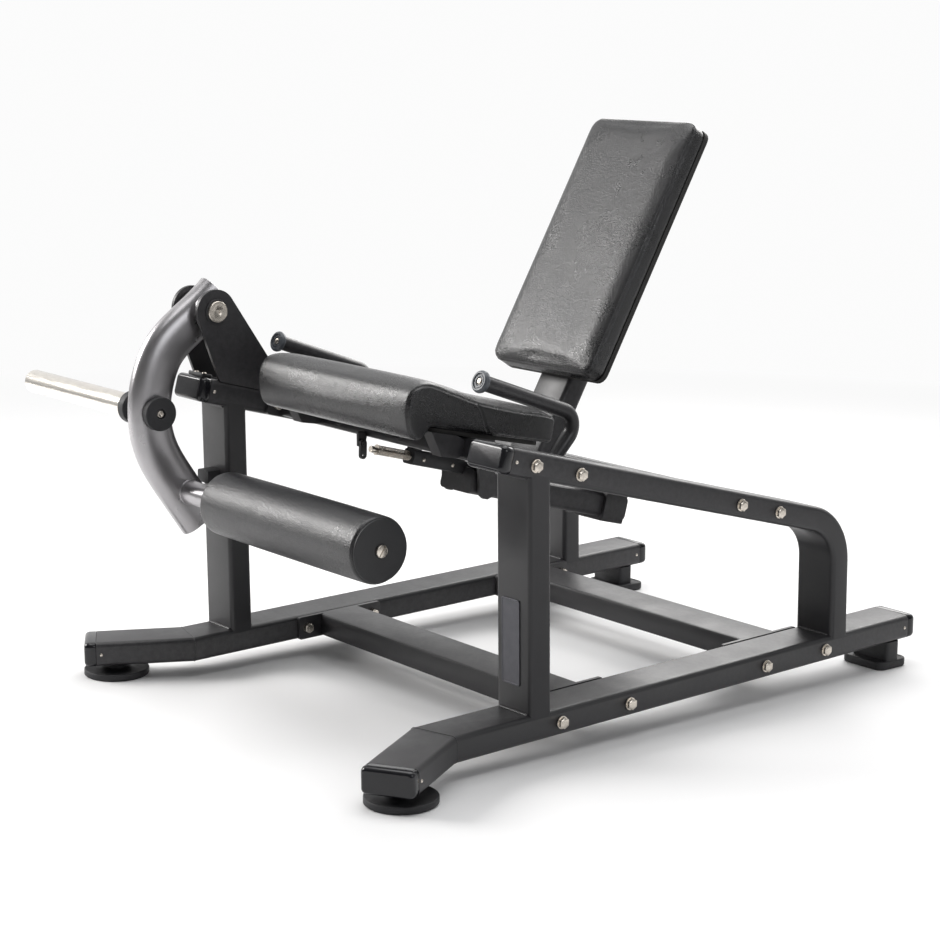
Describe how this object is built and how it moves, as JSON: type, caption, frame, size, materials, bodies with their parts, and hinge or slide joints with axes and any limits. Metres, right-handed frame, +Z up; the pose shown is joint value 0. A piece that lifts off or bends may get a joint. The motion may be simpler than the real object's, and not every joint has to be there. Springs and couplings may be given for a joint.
{
  "type": "leg extension machine",
  "caption": "Plate-loaded leg extension machine: bowed lever arm with roller and weight horn, padded seat and sliding reclined backrest on a splayed tube frame.",
  "frame": {"origin": "on the floor, under the middle of the front left foot", "axes": "+X to the sitter's left, -Y to the front where the lever arm is, +Z up"},
  "size_m": [1.4627, 1.4472, 1.1331],
  "materials": {
    "frame_paint": "satin black powder coat with a fine texture",
    "arm_paint": "metallic silver-grey paint, satin",
    "chrome": "polished chrome",
    "zinc": "bright zinc plate",
    "gloss_plastic": "glossy black moulded plastic",
    "matte_plastic": "matt black moulded plastic",
    "grey_plastic": "dark grey moulded plastic",
    "rubber": "matt black rubber",
    "vinyl": "black upholstery vinyl with a leather grain, double-stitched seams",
    "foam": "smooth black skin on a foam roller",
    "plywood": "black-stained backing board",
    "bronze": "sintered bronze"
  },
  "bodies": {
    "frame": {"side_frame_left": "frame_paint", "side_frame_right": "frame_paint", "lower_front_beam": "frame_paint", "lower_rear_beam": "frame_paint", "seat_frame": "frame_paint", "upper_rear_beam": "frame_paint", "seat_board": "plywood", "seat_cushion": "vinyl", "handle_left": "frame_paint", "handle_right": "frame_paint", "grip_cap_left": "grey_plastic", "grip_cap_right": "grey_plastic", "pivot_axle": "zinc", "arm_stop": "rubber", "lock_housing": "matte_plastic", "lock_spring": "zinc", "badge": "matte_plastic", "front_foot_left": "rubber", "rear_foot_left": "rubber", "base_front_cap_left": "gloss_plastic", "base_rear_cap_left": "gloss_plastic", "upper_front_cap_left": "gloss_plastic", "front_foot_right": "rubber", "rear_foot_right": "rubber", "base_front_cap_right": "gloss_plastic", "base_rear_cap_right": "gloss_plastic", "upper_front_cap_right": "gloss_plastic", "bolt_lower_front_1_left": "zinc", "bolt_lower_front_2_left": "zinc", "bolt_lower_rear_1_left": "zinc", "bolt_lower_rear_2_left": "zinc", "bolt_upper_front_1_left": "zinc", "bolt_upper_front_2_left": "zinc", "bolt_upper_rear_1_left": "zinc", "bolt_upper_rear_2_left": "zinc", "bolt_lower_front_1_right": "zinc", "bolt_lower_front_2_right": "zinc", "bolt_lower_rear_1_right": "zinc", "bolt_lower_rear_2_right": "zinc", "bolt_upper_front_1_right": "zinc", "bolt_upper_front_2_right": "zinc", "bolt_upper_rear_1_right": "zinc", "bolt_upper_rear_2_right": "zinc"},
    "arm": {"lever_arm": "arm_paint", "arm_top_cap": "arm_paint", "arm_bottom_cap": "arm_paint", "pivot_bushing_left": "bronze", "pivot_bushing_right": "bronze", "weight_horn": "chrome", "horn_collar": "rubber", "arm_bumper": "rubber", "roller_rod": "zinc", "roller_screw": "zinc"},
    "roller": {"roller_foam": "foam", "roller_end_disc": "matte_plastic"},
    "backrest": {"backrest_carriage": "frame_paint", "backrest_board": "plywood", "backrest_cushion": "vinyl", "lock_rod": "zinc"},
    "lever": {"release_lever": "matte_plastic"}
  },
  "joints": [
    {"name": "arm_pivot", "type": "hinge", "parent": "frame", "child": "arm", "pos_m": [-0.9005, 0.17191, 0.74525], "axis": [-1, 0, 0], "range_deg": [0, 110]},
    {"name": "roller_spin", "type": "hinge", "parent": "arm", "child": "roller", "pos_m": [-0.4865, 0.12199, 0.38006], "axis": [1, 0, 0], "continuous": true},
    {"name": "backrest_slide", "type": "slide", "parent": "frame", "child": "backrest", "axis": [0, 0.968, -0.2509], "range_m": [0, 0.05]},
    {"name": "lever_swing", "type": "hinge", "parent": "frame", "child": "lever", "pos_m": [-0.5425, 0.30915, 0.51024], "axis": [-1, 0, 0], "range_deg": [0, 25]}
  ]
}
